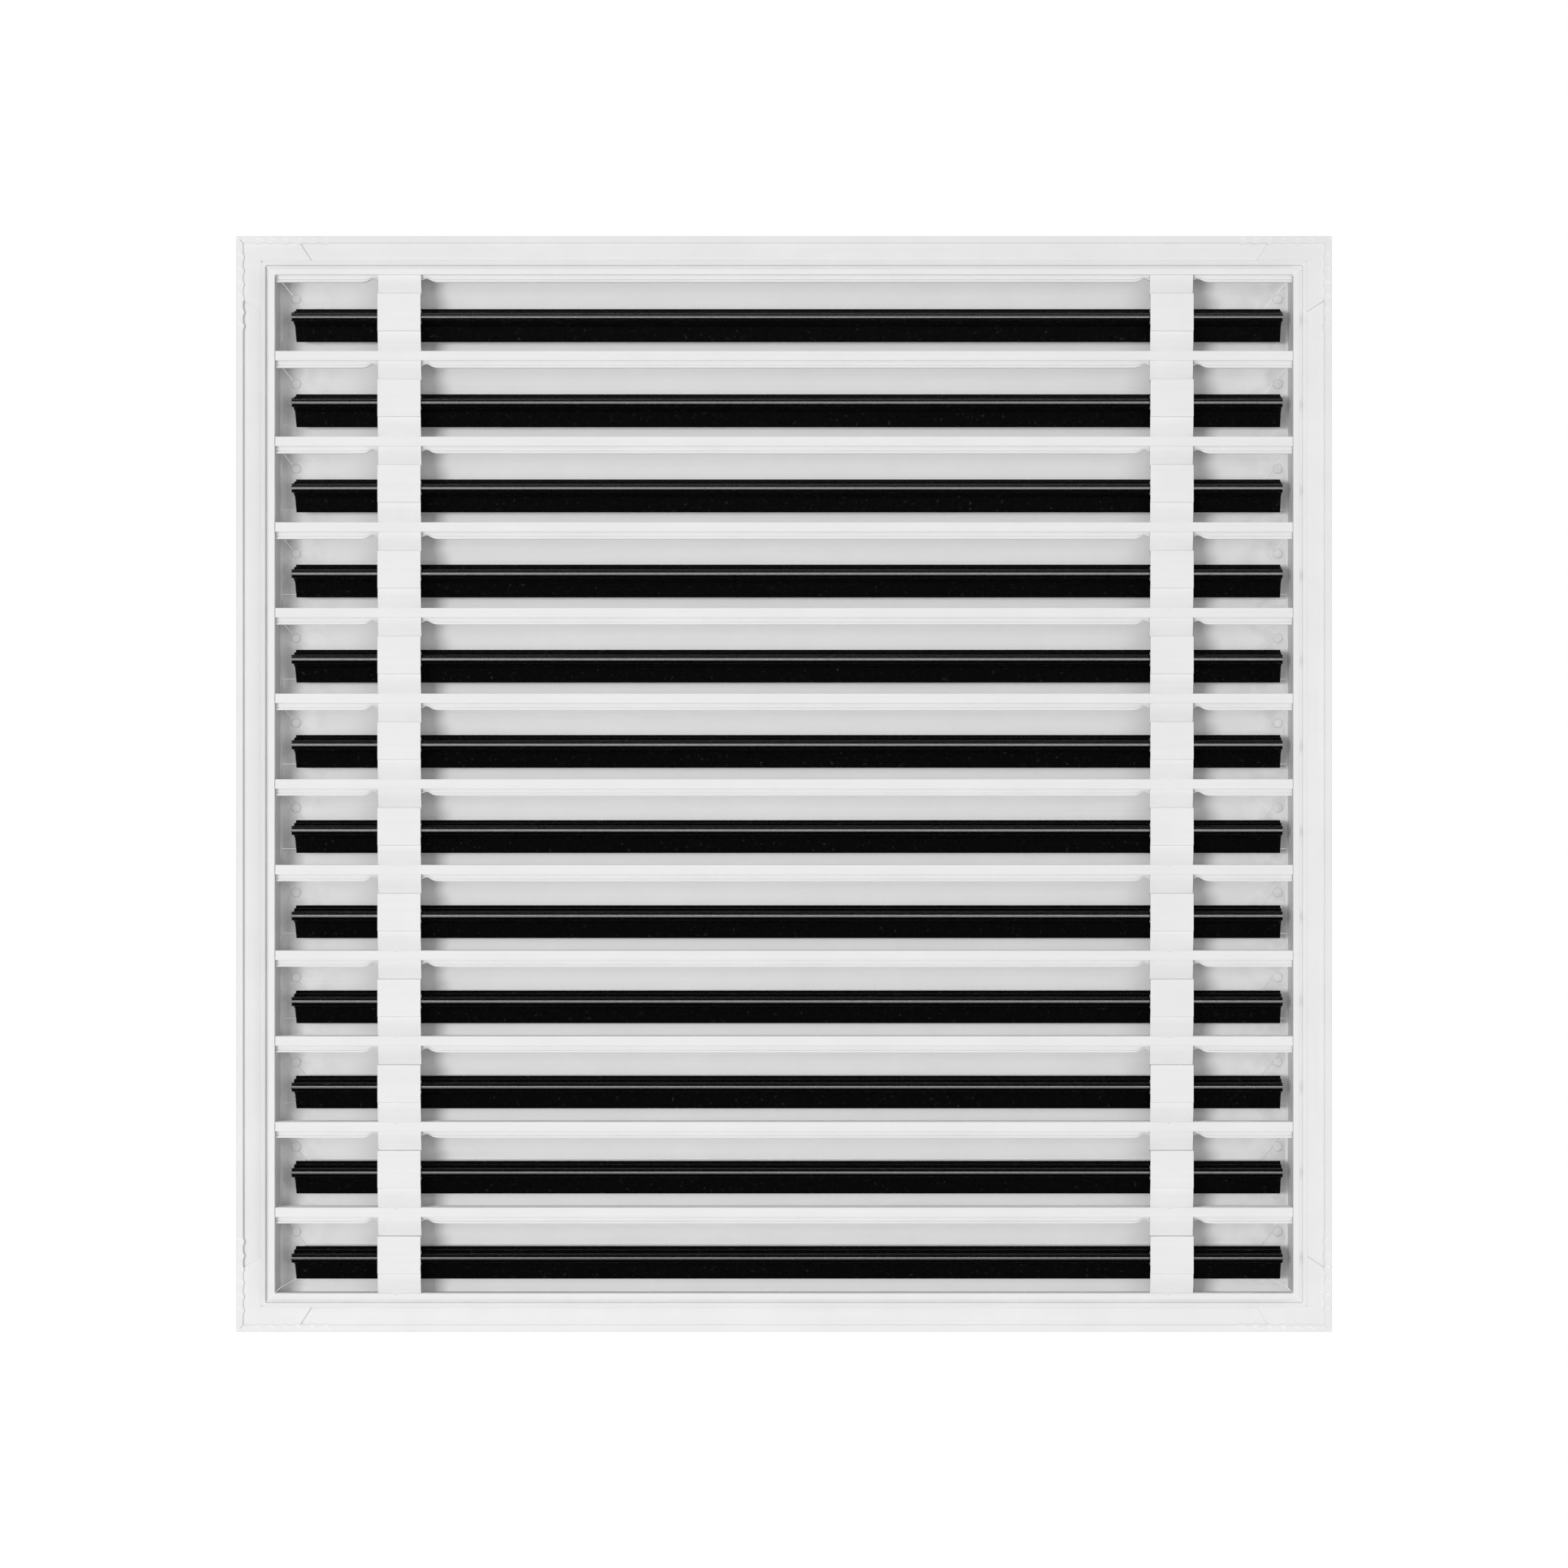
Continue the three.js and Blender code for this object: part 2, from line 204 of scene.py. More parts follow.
@dataclass(frozen=True)
class PowderCoat(Finish):
    """White powder coat over drawn aluminium, with orange peel, die lines, handling marks and painted
    shade towards the slots' end walls.
    """

    draw: Draw = Draw.ACROSS
    shade: float = 0.80
    peel_per_metre: float = 780.0
    relief_depth: float = 0.05 * MM
    relief: float = 0.35
    line_per_metre: float = 700.0
    line_height: float = 0.5
    line_tone: tuple[float, float] = (0.97, 1.024)
    stretch: float = 0.012
    smudge_per_metre: float = 26.0
    smudge_tone: tuple[float, float] = (0.93, 1.06)
    # Painted shade near the slots' end walls: how finely it is mottled, how dark it gets, where it starts
    # and ends, and its patches.
    wall_shade_per_metre: float = 95.0
    wall_shade_depth: float = 0.2
    wall_shade_from: float = 0.262
    wall_shade_to: float = 0.2995
    wall_shade_patches: tuple[float, float] = (0.42, 0.68)
    plate_back: tuple[float, float] = (1.2 * MM, 3.6 * MM)
    roughness: tuple[float, float] = (0.5, 0.66)
    ior: float = 1.48

    def name(self) -> str:
        """Returns the material's name."""
        return f"powder_coat_{self.draw.name.lower()}_{round(100 * self.shade)}"

    def painted_wall_shade(self, tree: Tree, place: bpy.types.NodeSocket) -> bpy.types.NodeSocket:
        """Darkens the plates' backs in mottled patches towards the slots' end walls. This is painted
        shade where the walls shade the plates.

        Args:
            tree: the material's tree.
            place: the Object coordinates.

        Returns:
            A factor for the coat's shade.
        """
        axes = tree.add("ShaderNodeSeparateXYZ", {0: place}).outputs
        reach = tree.math("ABSOLUTE", axes["X"])
        share = tree.add(
            "ShaderNodeMapRange", {"Value": reach, "From Min": self.wall_shade_from, "From Max": self.wall_shade_to}
        ).outputs["Result"]
        height = tree.math("ABSOLUTE", axes["Z"])
        inside = tree.math("LESS_THAN", tree.math("MAXIMUM", reach, height), self.wall_shade_to)
        back, front = self.plate_back
        above = tree.math("GREATER_THAN", axes["Y"], back)
        below = tree.math("LESS_THAN", axes["Y"], front)
        behind = tree.math("MULTIPLY", above, below)
        where = tree.math("MULTIPLY", tree.math("MULTIPLY", share, inside), behind)
        patches = tree.add(
            "ShaderNodeTexNoise", {"Vector": place, "Scale": self.wall_shade_per_metre, "Detail": 4.0}
        ).outputs["Fac"]
        thin, dense = self.wall_shade_patches
        patch = tree.add(
            "ShaderNodeMapRange", {"Value": patches, "From Min": thin, "From Max": dense}
        ).outputs["Result"]
        loss = tree.math("MULTIPLY", tree.math("MULTIPLY", where, patch), self.wall_shade_depth)
        return tree.math("SUBTRACT", 1.0, loss)

    def build(self, name: str) -> bpy.types.Material:
        """Makes the powder coat.

        Args:
            name: the material's name.

        Returns:
            The new material.
        """
        material, tree, shader, place = self.start(name)
        along = [1.0, 1.0, 1.0]
        along[0 if self.draw is Draw.ACROSS else 2] = self.stretch
        drawn = tree.add("ShaderNodeMapping", {"Vector": place, "Scale": along}).outputs[0]
        lines = tree.add(
            "ShaderNodeTexNoise", {"Vector": drawn, "Scale": self.line_per_metre, "Detail": 2.0}
        ).outputs["Fac"]
        peel = tree.add(
            "ShaderNodeTexNoise", {"Vector": place, "Scale": self.peel_per_metre, "Detail": 1.5}
        ).outputs["Fac"]
        smudge = tree.add(
            "ShaderNodeTexNoise",
            {"Vector": place, "Scale": self.smudge_per_metre, "Detail": 7.0, "Roughness": 0.62},
        ).outputs["Fac"]
        dull = tree.ramp(smudge, *self.smudge_tone)
        streak = tree.ramp(lines, *self.line_tone)
        clean = tree.math("MULTIPLY", tree.math("MULTIPLY", dull, streak), self.shade)
        # Painted shade darkens the plates' backs towards the slots' end walls.
        tone = tree.math("MULTIPLY", clean, self.painted_wall_shade(tree, place))
        colour = tree.add("ShaderNodeCombineColor", {"Red": tone, "Green": tone, "Blue": tone})
        height = tree.math("ADD", peel, tree.math("MULTIPLY", lines, self.line_height))
        bump = tree.add(
            "ShaderNodeBump", {"Height": height, "Strength": self.relief, "Distance": self.relief_depth}
        )
        links = tree.tree.links
        links.new(colour.outputs[0], shader.inputs["Base Color"])
        links.new(tree.ramp(smudge, *self.roughness), shader.inputs["Roughness"])
        links.new(bump.outputs[0], shader.inputs["Normal"])
        shader.inputs["IOR"].default_value = self.ior
        return material


@dataclass(frozen=True)
class SatinBlack(Finish):
    """Satin black enamel on the blades, with dust specks and fine draw lines."""

    shade: float = 0.0008
    speck_shade: float = 0.03
    speck_per_metre: float = 520.0
    speck_grain: tuple[float, float] = (0.66, 0.74)
    line_per_metre: float = 1500.0
    line_height: float = 0.6
    relief_depth: float = 0.03 * MM
    relief: float = 0.3
    stretch: float = 0.01
    roughness: tuple[float, float] = (0.22, 0.36)
    specular: float = 0.06

    def name(self) -> str:
        """Returns the material's name."""
        return "satin_black"

    def build(self, name: str) -> bpy.types.Material:
        """Makes the black enamel.

        Args:
            name: the material's name.

        Returns:
            The new material.
        """
        material, tree, shader, place = self.start(name)
        drawn = tree.add(
            "ShaderNodeMapping", {"Vector": place, "Scale": (self.stretch, 1.0, 1.0)}
        ).outputs[0]
        lines = tree.add(
            "ShaderNodeTexNoise", {"Vector": drawn, "Scale": self.line_per_metre, "Detail": 2.0}
        ).outputs["Fac"]
        grain = tree.add(
            "ShaderNodeTexNoise", {"Vector": place, "Scale": self.speck_per_metre, "Detail": 3.0}
        ).outputs["Fac"]
        clear, dusty = self.speck_grain
        dust = tree.add(
            "ShaderNodeMapRange", {"Value": grain, "From Min": clear, "From Max": dusty}
        ).outputs["Result"]
        speck = tree.ramp(dust, self.shade, self.speck_shade)
        colour = tree.add("ShaderNodeCombineColor", {"Red": speck, "Green": speck, "Blue": speck})
        height = tree.math("ADD", grain, tree.math("MULTIPLY", lines, self.line_height))
        bump = tree.add(
            "ShaderNodeBump", {"Height": height, "Strength": self.relief, "Distance": self.relief_depth}
        )
        links = tree.tree.links
        links.new(colour.outputs[0], shader.inputs["Base Color"])
        links.new(tree.ramp(grain, *self.roughness), shader.inputs["Roughness"])
        links.new(bump.outputs[0], shader.inputs["Normal"])
        shader.inputs["Specular IOR Level"].default_value = self.specular
        return material


@dataclass(frozen=True)
class StudioFloor(Finish):
    """Pale matt paper under the part."""

    shade: float = 0.82
    fleck: float = 0.015

    def name(self) -> str:
        """Returns the material's name."""
        return "studio_paper"

    def build(self, name: str) -> bpy.types.Material:
        """Makes the paper.

        Args:
            name: the material's name.

        Returns:
            The new material.
        """
        material, tree, shader, place = self.start(name)
        fibre = tree.add("ShaderNodeTexNoise", {"Vector": place, "Scale": 30.0}).outputs["Fac"]
        tone = tree.ramp(fibre, self.shade * (1.0 - self.fleck), self.shade * (1.0 + self.fleck))
        colour = tree.add("ShaderNodeCombineColor", {"Red": tone, "Green": tone, "Blue": tone})
        tree.tree.links.new(colour.outputs[0], shader.inputs["Base Color"])
        shader.inputs["Roughness"].default_value = 0.9
        return material


# ---------------------------------------------------------------------------------------------
# Meshes
# ---------------------------------------------------------------------------------------------


def settle(piece: bpy.types.Object) -> None:
    """Turns a piece's modifiers into plain mesh.

    Args:
        piece: the object to settle.
    """
    graph = bpy.context.evaluated_depsgraph_get()
    baked = bpy.data.meshes.new_from_object(piece.evaluated_get(graph))
    piece.modifiers.clear()
    old = piece.data
    piece.data = baked
    bpy.data.meshes.remove(old)
    baked.name = piece.name


def new_piece(name: str, mesh: bpy.types.Mesh) -> bpy.types.Object:
    """Puts a mesh into the scene.

    Args:
        name: the piece's name.
        mesh: its mesh, already in place.

    Returns:
        The new object.
    """
    piece = bpy.data.objects.new(name, mesh)
    bpy.context.scene.collection.objects.link(piece)
    return piece


def enrol(piece: bpy.types.Object, body: str, finish: Finish, nodes: Sequence[str] = ()) -> None:
    """Gives a finished piece its body, material and the solids that it stands for.

    Args:
        piece: the finished piece.
        body: the body that it rides on.
        finish: its finish.
        nodes: CAD nodes that it replaces.
    """
    piece.data.materials.clear()
    piece.data.materials.append(finish.material())
    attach(piece, body)
    if nodes:
        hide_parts(*nodes)


@dataclass
class Drawing:
    """A finer copy of a drawn solid, with the long corners rounded as the die rounds them."""

    node: str
    draw: Draw = Draw.ACROSS
    fillet: float = 0.28 * MM
    stations: list[float] = field(default_factory=list)
    shape: Callable[[Vector], Vector] | None = None
    rounds: int = 3
    corner: float = math.radians(30)
    crease: float = math.radians(40)

    def build(self, name: str) -> bpy.types.Object:
        """Makes the copy.

        Args:
            name: the new piece's name.

        Returns:
            The new piece, its modifiers settled.
        """
        work = bmesh.new()
        work.from_mesh(frame["nodes"][self.node].data)
        bmesh.ops.remove_doubles(work, verts=work.verts, dist=WELD)
        bmesh.ops.dissolve_limit(work, angle_limit=FLAT, verts=work.verts, edges=work.edges)
        self.round_corners(work)
        self.cut_stations(work)
        if self.shape:
            for vertex in work.verts:
                vertex.co = self.shape(vertex.co)
        for edge in work.edges:
            edge.smooth = edge.calc_face_angle(0) < self.crease
        for face in work.faces:
            face.smooth = True
        mesh = bpy.data.meshes.new(name)
        work.to_mesh(mesh)
        work.free()
        piece = new_piece(name, mesh)
        even = piece.modifiers.new("even_normals", "WEIGHTED_NORMAL")
        even.keep_sharp = True
        settle(piece)
        return piece

    def build_row(self, names: Sequence[str], finish: Finish) -> list[bpy.types.Object]:
        """Makes the copy and repeats it at every solid that has the same shape.

        Args:
            names: the solids' CAD nodes, this drawing's own first.
            finish: their finish.

        Returns:
            The pieces, in the order of their names, enrolled.
        """
        row = [self.build(f"{self.node}_fine")]
        for name in names[1:]:
            row.append(moved_copy(row[0], f"{name}_fine", low_corner(name) - low_corner(self.node)))
        for name, piece in zip(names, row):
            enrol(piece, body_of(name), finish, [name])
        return row

    def round_corners(self, work: bmesh.types.BMesh) -> None:
        """Rounds the corners that run along the drawing.

        Args:
            work: the mesh under work.
        """
        long = [
            edge
            for edge in work.edges
            if edge.calc_length() > MM
            and abs((edge.verts[1].co - edge.verts[0].co).normalized().dot(self.draw.value)) > ALONG
            and edge.calc_face_angle(0) > self.corner
        ]
        bmesh.ops.bevel(
            work,
            geom=long,
            offset=self.fillet,
            offset_type="OFFSET",
            segments=self.rounds,
            profile=0.5,
            affect="EDGES",
            clamp_overlap=True,
        )

    def cut_stations(self, work: bmesh.types.BMesh) -> None:
        """Cuts the faces across at each station, so that they can bend there.

        Args:
            work: the mesh under work.
        """
        for station in self.stations:
            bmesh.ops.bisect_plane(
                work,
                geom=work.verts[:] + work.edges[:] + work.faces[:],
                dist=WELD,
                plane_co=self.draw.value * station,
                plane_no=self.draw.value,
            )


def moved_copy(piece: bpy.types.Object, name: str, offset: Vector) -> bpy.types.Object:
    """Copies a piece's mesh to another place.

    Args:
        piece: the piece to copy.
        name: the copy's name.
        offset: how far it moves.

    Returns:
        The copy.
    """
    mesh = piece.data.copy()
    mesh.transform(Matrix.Translation(offset))
    return new_piece(name, mesh)


def low_corner(node: str) -> Vector:
    """Returns a CAD node's lowest corner."""
    return Vector(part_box(node)[0])


def body_of(node: str) -> str:
    """Returns the body that a CAD node rides on."""
    bodies = frame["record"]["behaviour"]["bodies"]
    return next(body for body, nodes in bodies.items() if node in nodes)


def nodes_named(start: str) -> list[str]:
    """Returns the CAD nodes whose names start with the given words, in order."""
    return sorted(node for node in frame["nodes"] if node.startswith(start))


def bump_at(value: float, centre: float, width: float) -> float:
    """A smooth bump, 1 at its centre.

    Args:
        value: where it is read.
        centre: where it peaks.
        width: how far from the centre it has fallen to a third.

    Returns:
        The bump's height there.
    """
    return math.exp(-(((value - centre) / width) ** 2))


def within(value: float, span: tuple[float, float]) -> bool:
    """Returns whether a value lies between a span's two ends."""
    return span[0] < value < span[1]


# ---------------------------------------------------------------------------------------------
# Sub-assemblies
# ---------------------------------------------------------------------------------------------


@dataclass
class Assembly:
    """The places that all the sub-assemblies share, read off the frame."""

    foot: float = 1.5 * MM
    bridge_spans: list[tuple[float, float]] = field(default_factory=list)
    slot_tops: list[float] = field(default_factory=list)
    slot_height: float = 0.0

    def __post_init__(self) -> None:
        """Reads the bridges' places and the slots' edges off the frame; a foot laps each edge."""
        for node in ("bridge_left_01", "bridge_right_01"):
            low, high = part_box(node)
            self.bridge_spans.append((low[0], high[0]))
        for node in nodes_named("bridge_left_"):
            self.slot_tops.append(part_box(node)[1][2] - self.foot)
        low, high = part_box("bridge_left_01")
        self.slot_height = high[2] - low[2] - 2 * self.foot

    def bar_middles(self) -> list[float]:
        """Returns the height of each T-bar's middle, in order from the top."""
        half_bar = (self.slot_tops[0] - self.slot_height - self.slot_tops[1]) / 2
        return [top + half_bar for top in self.slot_tops[1:]]

    def bridge_edges(self) -> list[tuple[float, int]]:
        """Returns each bridge edge's x with the way that leads away from the bridge."""
        return [(x, way) for span in self.bridge_spans for x, way in zip(span, (-1, 1))]

    def bridge_middles(self) -> list[float]:
        """Returns the x of each bridge's middle."""
        return [(low + high) / 2 for low, high in self.bridge_spans]


@dataclass
class Crimps:
    """Dents squeezed into a lip on both sides of each bridge, so that the bridge can't slide."""

    assembly: Assembly
    rise: float = 2.3 * MM
    lean: float = 1.3 * MM
    peak: float = 3.0 * MM
    width: float = 3.3 * MM
    fade_offsets: tuple[float, ...] = (0.2, 1.4, 2.6, 3.4, 4.4, 5.6, 7.0, 9.0, 12.0)

    def stations(self) -> list[float]:
        """Returns the x of every cut that the dents need."""
        sides = self.assembly.bridge_edges()
        return [edge + way * step * MM for edge, way in sides for step in self.fade_offsets]

    def depth(self, x: float) -> float:
        """Returns how deep the dents are at x, from 0 to 1."""
        sides = self.assembly.bridge_edges()
        return sum(bump_at((x - edge) * way, self.peak, self.width) for edge, way in sides)


@dataclass
class Notches:
    """A punch mark in a bar's back edge at each bridge's middle, which pins the bridge's foot."""

    assembly: Assembly
    depth: float = 1.15 * MM
    width: float = 1.0 * MM
    shift: float = -1.9 * MM
    offsets: tuple[float, ...] = (-2.4, -1.3, -0.7, 0.0, 0.7, 1.3, 2.4)

    def stations(self) -> list[float]:
        """Returns the x of every cut that the punch marks need."""
        marks = self.assembly.bridge_middles()
        return [mark + self.shift + step * MM for mark in marks for step in self.offsets]

    def depth_at(self, x: float) -> float:
        """Returns how deep the punch marks are at x, in metres."""
        marks = self.assembly.bridge_middles()
        return self.depth * sum(bump_at(x, mark + self.shift, self.width) for mark in marks)


@dataclass
class LippedSection:
    """Where a bar's or rail's lip and back edge lie, so that they can be crimped and punched."""

    crimps: Crimps
    notches: Notches
    head_edge: float
    lip_reach: float = 4.1 * MM
    lip_near: float = -22.8 * MM
    lip_far: float = -26.0 * MM
    head_near: float = -28.1 * MM
    notch_reach: float = 0.5 * MM
    crimped: bool = True
    notched_edge: float | None = None

    def stations(self) -> list[float]:
        """Returns every cut that the section's marks need."""
        cuts = self.crimps.stations() if self.crimped else []
        return cuts + (self.notches.stations() if self.notched_edge is not None else [])

    def shape(self, point: Vector) -> Vector:
        """Moves a point by the crimps and punch marks.

        Args:
            point: a vertex's place.

        Returns:
            Its new place.
        """
        moved = point.copy()
        reach = self.head_edge - point.z
        if self.crimped and self.lip_far < point.y < self.lip_near and reach > 0:
            depth = self.crimps.depth(point.x) * min(reach / self.lip_reach, 1.0)
            moved.z += depth * self.crimps.rise
            moved.y += depth * self.crimps.lean
        if self.notched_edge is not None and point.y < self.head_near:
            near = bump_at(point.z, self.notched_edge, self.notch_reach)
            moved.z -= near * self.notches.depth_at(point.x)
        return moved


@dataclass
class TBars:
    """The eleven T-bars between the slots."""

    assembly: Assembly
    finish: Finish = PowderCoat(Draw.ACROSS)
    corner_from: float = 284.3 * MM
    plate_back: float = 2.6 * MM
    snug: tuple[float, float] = (0.18 * MM, 0.15 * MM)

    def snugged(self, point: Vector, middle: float) -> Vector:
        """Widens the face plate's corners, so that only a hairline is left beside them.

        Args:
            point: a vertex's place.
            middle: the height of the bar's middle.

        Returns:
            Its new place.
        """
        moved = point.copy()
        if point.y > self.plate_back and abs(point.x) > self.corner_from:
            moved.x += math.copysign(self.snug[0], point.x)
            moved.z += math.copysign(self.snug[1], point.z - middle)
        return moved

    def build(self) -> list[bpy.types.Object]:
        """Makes the bars.

        Returns:
            The bars, in order from the top.
        """
        names = nodes_named("t_bar_")
        lower_edge = self.assembly.slot_tops[1]
        upper_edge = self.assembly.slot_tops[0] - self.assembly.slot_height
        section = LippedSection(
            Crimps(self.assembly), Notches(self.assembly), lower_edge, notched_edge=upper_edge
        )
        middle = self.assembly.bar_middles()[0]
        drawing = Drawing(
            names[0],
            stations=section.stations(),
            shape=lambda point: self.snugged(section.shape(point), middle),
        )
        return drawing.build_row(names, self.finish)


@dataclass
class Stakes:
    """Punched marks along the flange's outer lip, which lock the corner keys in their channel."""

    count: int = 6
    first: float = 12.6 * MM
    pitch: float = 8.2 * MM
    bite: float = 0.9 * MM
    width: float = 1.5 * MM
    lip: float = 4.0 * MM
    lip_under: float = 1.3 * MM
    lip_edge: tuple[float, float] = (3.4 * MM, 4.4 * MM)
    offsets: tuple[float, ...] = (-3.0, -1.6, -0.8, 0.0, 0.8, 1.6, 3.0)

    def marks(self, half: float) -> list[float]:
        """Returns where the marks stand along a rail, on both of its ends."""
        places = [half - self.first - self.pitch * i for i in range(self.count)]
        return places + [-place for place in places]

    def stations(self, half: float) -> list[float]:
        """Returns every cut that the marks need."""
        return [mark + step * MM for mark in self.marks(half) for step in self.offsets]

    def depth(self, along: float, half: float) -> float:
        """Returns how far the lip is pushed over the key at a place along the rail."""
        return self.bite * sum(bump_at(along, mark, self.width) for mark in self.marks(half))


@dataclass
class Rails:
    """The four mitred rails of the frame."""

    assembly: Assembly
    stakes: Stakes = field(default_factory=Stakes)
    half: float = 0.0

    def __post_init__(self) -> None:
        """Reads half the flange's width off the frame."""
        self.half = CAD_BOX[1][2]

    def staked(self, point: Vector, along: int, across: int) -> Vector:
        """Pushes the outer lip's inner edge over the corner keys.

        Args:
            point: a vertex's place.
            along: the axis that the rail runs along, 0 for X or 2 for Z.
            across: the other of those two axes.

        Returns:
            Its new place.
        """
        moved = point.copy()
        inwards = self.half - abs(point[across])
        near, far = self.stakes.lip_edge
        if near < inwards < far and point.y < self.stakes.lip_under:
            push = self.stakes.depth(point[along], self.half)
            moved[across] -= math.copysign(push, point[across])
        return moved

    def build(self) -> list[bpy.types.Object]:
        """Makes the rails.

        Returns:
            The four rails.
        """
        stations = self.stakes.stations(self.half)
        top = LippedSection(Crimps(self.assembly), Notches(self.assembly), self.assembly.slot_tops[0])
        last_edge = self.assembly.slot_tops[-1] - self.assembly.slot_height
        bottom = LippedSection(
            Crimps(self.assembly), Notches(self.assembly), 0.0, crimped=False, notched_edge=last_edge
        )
        rails = []
        for node, section in (("top_rail", top), ("bottom_rail", bottom)):
            drawing = Drawing(
                node,
                stations=stations + section.stations(),
                shape=lambda point, section=section: self.staked(section.shape(point), 0, 2),
            )
            rails.append(self.finished(drawing))
        for node in ("left_rail", "right_rail"):
            drawing = Drawing(
                node, Draw.UPRIGHT, stations=stations, shape=lambda point: self.staked(point, 2, 0)
            )
            rails.append(self.finished(drawing))
        return rails

    def finished(self, drawing: Drawing) -> bpy.types.Object:
        """Builds a rail and enrols it.

        Args:
            drawing: the rail's drawing.

        Returns:
            The finished rail.
        """
        rail = drawing.build(f"{drawing.node}_fine")
        enrol(rail, FRAME_BODY, PowderCoat(drawing.draw), [drawing.node])
        return rail


@dataclass
class CornerKeys:
    """The four L plates in the flange's channels, with their sheared edges eased."""

    ease: float = 0.15 * MM

    def build(self) -> list[bpy.types.Object]:
        """Makes the corner keys.

        Returns:
            The four keys.
        """
        keys = []
        for node in nodes_named("corner_key_"):
            key = self.eased(node)
            enrol(key, FRAME_BODY, PowderCoat(Draw.ACROSS), [node])
            keys.append(key)
        return keys

    def eased(self, node: str) -> bpy.types.Object:
        """Copies a key and eases all its edges.

        Args:
            node: the key's CAD node.

        Returns:
            The new piece.
        """
        work = bmesh.new()
        work.from_mesh(frame["nodes"][node].data)
        bmesh.ops.remove_doubles(work, verts=work.verts, dist=WELD)
        bmesh.ops.dissolve_limit(work, angle_limit=FLAT, verts=work.verts, edges=work.edges)
        bmesh.ops.bevel(
            work, geom=work.edges[:], offset=self.ease, segments=2, profile=0.5, affect="EDGES"
        )
        mesh = bpy.data.meshes.new(f"{node}_fine")
        work.to_mesh(mesh)
        work.free()
        return new_piece(f"{node}_fine", mesh)


@dataclass
class Bridges:
    """The twenty-four bridges, two across each slot, with the clips that carry the blades."""

    assembly: Assembly
    finish: Finish = PowderCoat(Draw.ACROSS)
    fillet: float = 0.3 * MM
    dip_ends: tuple[float, float] = (10.0 * MM, 11.6 * MM)
    dip_strap: tuple[float, float] = (-26.5 * MM, -23.5 * MM)
    dip: float = 1.2 * MM
    step_ends: tuple[float, float] = (31.0 * MM, 39.0 * MM)
    step_strap: tuple[float, float] = (-29.8 * MM, -27.6 * MM)
    step: float = 0.8 * MM

    def pressed(self, point: Vector, top: float) -> Vector:
        """Steepens the strap's two slopes, as the press leaves them.

        Args:
            point: a vertex's place.
            top: the height of the slot's upper edge.

        Returns:
            Its new place.
        """
        moved = point.copy()
        down = top - point.z
        if within(down, self.dip_ends) and within(point.y, self.dip_strap):
            moved.y += self.dip
        if within(down, self.step_ends) and within(point.y, self.step_strap):
            moved.y -= self.step
        return moved

    def build(self) -> list[bpy.types.Object]:
        """Makes the bridges.

        Returns:
            The bridges.
        """
        names = nodes_named("bridge_")
        top = self.assembly.slot_tops[0]
        drawing = Drawing(names[0], fillet=self.fillet, shape=lambda point: self.pressed(point, top))
        return drawing.build_row(names, self.finish)


@dataclass
class Blades:
    """The twelve black louvre blades, each on its own hinge."""

    finish: Finish = SatinBlack()
    fillet: float = 0.2 * MM
    groove_reach: tuple[float, float] = (0.8 * MM, 1.2 * MM)
    groove_floor: float = 1.2 * MM
    undercut: float = 0.9 * MM

    def grooved(self, point: Vector, hub: Vector) -> Vector:
        """Slopes the floors of the hub's grooves down to the crown's foot.

        Args:
            point: a vertex's place.
            hub: a point on the hub's axis.

        Returns:
            Its new place.
        """
        moved = point.copy()
        if within(abs(point.z - hub.z), self.groove_reach) and abs(point.y - hub.y) < self.groove_floor:
            moved.y += self.undercut
        return moved

    def build(self) -> list[bpy.types.Object]:
        """Makes the blades.

        Returns:
            The blades, in order from the top.
        """
        names = nodes_named("blade_")
        hub = Vector(frame["record"]["behaviour"]["joints"][0]["pos_m"])
        drawing = Drawing(names[0], fillet=self.fillet, shape=lambda point: self.grooved(point, hub))
        return drawing.build_row(names, self.finish)


# ---------------------------------------------------------------------------------------------
# Repeated small pieces, set out by Geometry Nodes
# ---------------------------------------------------------------------------------------------


